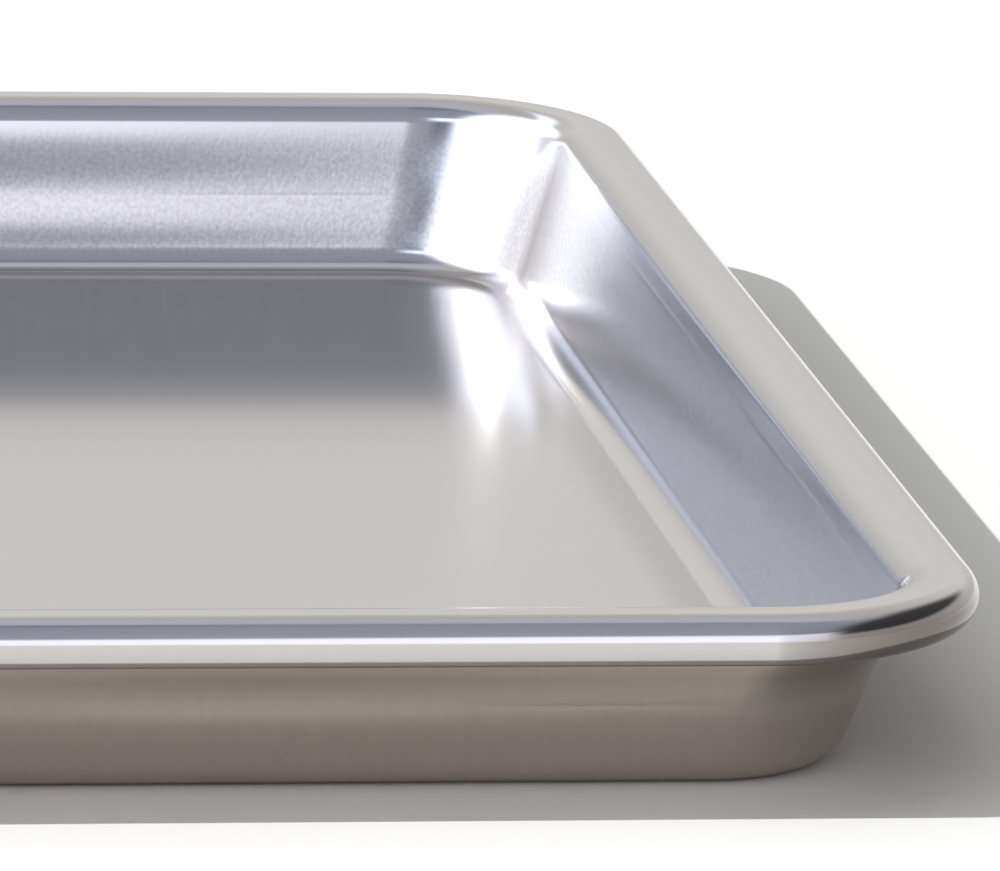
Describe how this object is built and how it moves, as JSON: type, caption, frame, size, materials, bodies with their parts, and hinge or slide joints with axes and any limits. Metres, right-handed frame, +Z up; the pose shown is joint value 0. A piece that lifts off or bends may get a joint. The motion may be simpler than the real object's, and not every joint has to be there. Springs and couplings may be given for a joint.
{
  "type": "jelly roll pan",
  "caption": "Shallow rectangular aluminium baking pan with sloping walls, rounded corners and a rim rolled outward over a steel wire.",
  "frame": {"origin": "middle of the underside, on the surface the pan stands on", "axes": "+X along the pan's length, +Y across its width toward the back, +Z up out of the open top"},
  "size_m": [0.457, 0.33, 0.0254],
  "materials": {
    "pan_aluminium": "natural mill finish, satin",
    "rim_wire_steel": "galvanised wire"
  },
  "bodies": {
    "root": {"pan_shell": "pan_aluminium", "rim_wire": "rim_wire_steel"}
  },
  "joints": []
}
